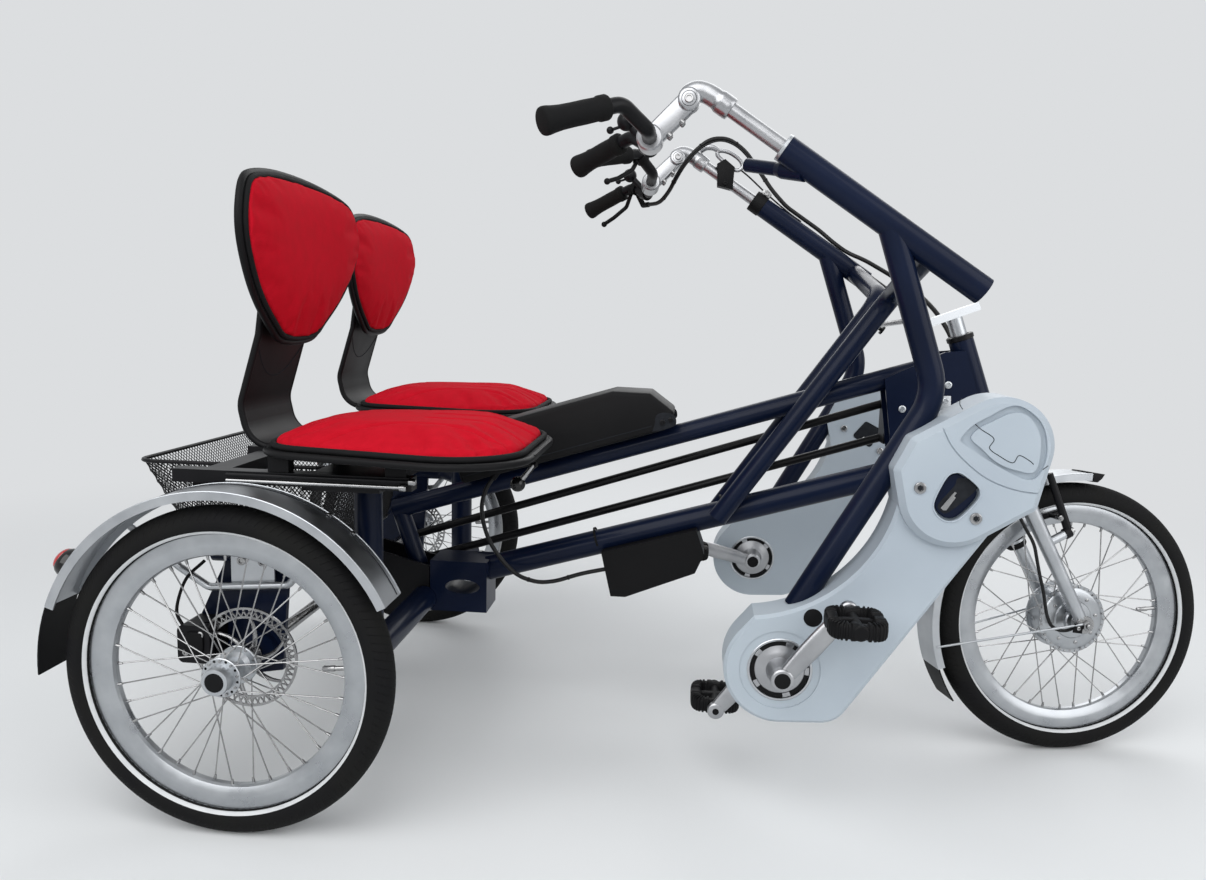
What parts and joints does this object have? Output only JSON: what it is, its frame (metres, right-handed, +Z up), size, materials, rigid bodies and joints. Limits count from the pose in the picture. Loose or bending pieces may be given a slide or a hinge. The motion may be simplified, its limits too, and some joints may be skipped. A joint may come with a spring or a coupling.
{
  "type": "electric side-by-side tandem",
  "caption": "Three-wheeled electric cycle with two seats side by side, twin pedal units and a steered front wheel.",
  "frame": {"origin": "on the floor under the middle of the cycle's length and width", "axes": "+X forward, +Y to the riders' left, +Z up"},
  "size_m": [1.9382, 1.07, 1.1716],
  "materials": {
    "black_paint": "satin",
    "black_plastic": "satin",
    "black_rubber": "matte",
    "case_plastic": "satin",
    "chrome": "polished",
    "frame_paint": "satin",
    "lamp_red": "gloss",
    "seat_fabric": "matte",
    "silver_metal": "satin",
    "steel": "satin",
    "tyre": "matte"
  },
  "bodies": {
    "root": {"back_cushion_left": "seat_fabric", "back_cushion_right": "seat_fabric", "bar_tube_left": "frame_paint", "bar_tube_right": "frame_paint", "basket": "black_paint", "battery": "black_plastic", "bell_right": "black_plastic", "brace_tubes": "frame_paint", "brake_calipers": "black_plastic", "cable_frame": "black_rubber", "chain_tubes": "black_paint", "chaincase_left": "case_plastic", "chaincase_right": "case_plastic", "controller_box": "black_plastic", "differential": "black_paint", "down_tubes": "frame_paint", "drive_cover_left": "case_plastic", "drive_cover_right": "case_plastic", "grips_right": "black_rubber", "handlebar_right": "black_paint", "main_frame": "frame_paint", "mudguard_stays": "silver_metal", "rear_flaps": "black_rubber", "rear_frame": "frame_paint", "rear_mudguards": "silver_metal", "seat_cushion_left": "seat_fabric", "seat_cushion_right": "seat_fabric", "seat_rails": "black_paint", "seat_shell_left": "black_plastic", "seat_shell_right": "black_plastic", "stem_right": "silver_metal", "tail_lights": "lamp_red"},
    "wheel_right": {"wheel_right": "silver_metal", "tyre_right": "tyre", "half_shaft_right": "steel"},
    "wheel_left": {"wheel_left": "silver_metal", "tyre_left": "tyre", "half_shaft_left": "steel"},
    "fork": {"fork": "silver_metal", "steering_lever": "steel", "front_mudguard": "silver_metal", "front_flap": "black_rubber", "rim_brake": "black_plastic", "cable_motor": "black_rubber"},
    "front_wheel": {"wheel_front": "silver_metal", "tyre_front": "tyre"},
    "handlebar_left": {"stem_left": "silver_metal", "handlebar_left": "black_paint", "grips_left": "black_rubber", "steering_arm": "frame_paint", "brake_levers": "black_plastic", "bell_left": "black_plastic", "cable_handlebar": "black_rubber"},
    "tie_rod": {"tie_rod": "steel"},
    "cranks_right": {"cranks_right": "chrome"},
    "cranks_left": {"cranks_left": "chrome"},
    "pedal_outer_right": {"pedal_outer_right": "black_plastic"},
    "pedal_inner_right": {"pedal_inner_right": "black_plastic"},
    "pedal_outer_left": {"pedal_outer_left": "black_plastic"},
    "pedal_inner_left": {"pedal_inner_left": "black_plastic"}
  },
  "joints": [
    {"name": "wheel_right_spin", "type": "hinge", "parent": "root", "child": "wheel_right", "pos_m": [-0.66908, -0.487, 0.253], "axis": [0, 1, 0], "continuous": true},
    {"name": "wheel_left_spin", "type": "hinge", "parent": "root", "child": "wheel_left", "pos_m": [-0.66908, 0.487, 0.253], "axis": [0, 1, 0], "continuous": true},
    {"name": "fork_steer", "type": "hinge", "parent": "root", "child": "fork", "pos_m": [0.47488, 0, 0.79705], "axis": [-0.342, 0, 0.9397], "range_deg": [-46, 24]},
    {"name": "front_wheel_spin", "type": "hinge", "parent": "fork", "child": "front_wheel", "pos_m": [0.71817, 0.00825, 0.25273], "axis": [-0.1793, 0.9816, -0.0653], "continuous": true},
    {"name": "handlebar_left_steer", "type": "hinge", "parent": "root", "child": "handlebar_left", "pos_m": [0.12292, 0.322, 1.044], "axis": [-0.83, 0, 0.5577], "range_deg": [-46, 24]},
    {"name": "tie_rod_pivot", "type": "hinge", "parent": "fork", "child": "tie_rod", "pos_m": [0.40955, -0.01259, 0.78711], "axis": [-0.342, 0, 0.9397], "range_deg": [-24, 46]},
    {"name": "cranks_right_spin", "type": "hinge", "parent": "root", "child": "cranks_right", "pos_m": [0.15232, -0.3375, 0.258], "axis": [0, 1, 0], "continuous": true},
    {"name": "cranks_left_spin", "type": "hinge", "parent": "root", "child": "cranks_left", "pos_m": [0.15232, 0.3375, 0.258], "axis": [0, 1, 0], "continuous": true},
    {"name": "pedal_outer_right_spin", "type": "hinge", "parent": "cranks_right", "child": "pedal_outer_right", "pos_m": [0.24357, -0.409, 0.37069], "axis": [0, 1, 0], "continuous": true},
    {"name": "pedal_inner_right_spin", "type": "hinge", "parent": "cranks_right", "child": "pedal_inner_right", "pos_m": [0.06107, -0.266, 0.14531], "axis": [0, 1, 0], "continuous": true},
    {"name": "pedal_outer_left_spin", "type": "hinge", "parent": "cranks_left", "child": "pedal_outer_left", "pos_m": [0.2936, 0.409, 0.22538], "axis": [0, 1, 0], "continuous": true},
    {"name": "pedal_inner_left_spin", "type": "hinge", "parent": "cranks_left", "child": "pedal_inner_left", "pos_m": [0.01103, 0.266, 0.29062], "axis": [0, 1, 0], "continuous": true}
  ],
  "couplings": [
    {"joint": "handlebar_left_steer", "follows": "fork_steer", "ratio": 1},
    {"joint": "tie_rod_pivot", "follows": "fork_steer", "ratio": -1}
  ]
}
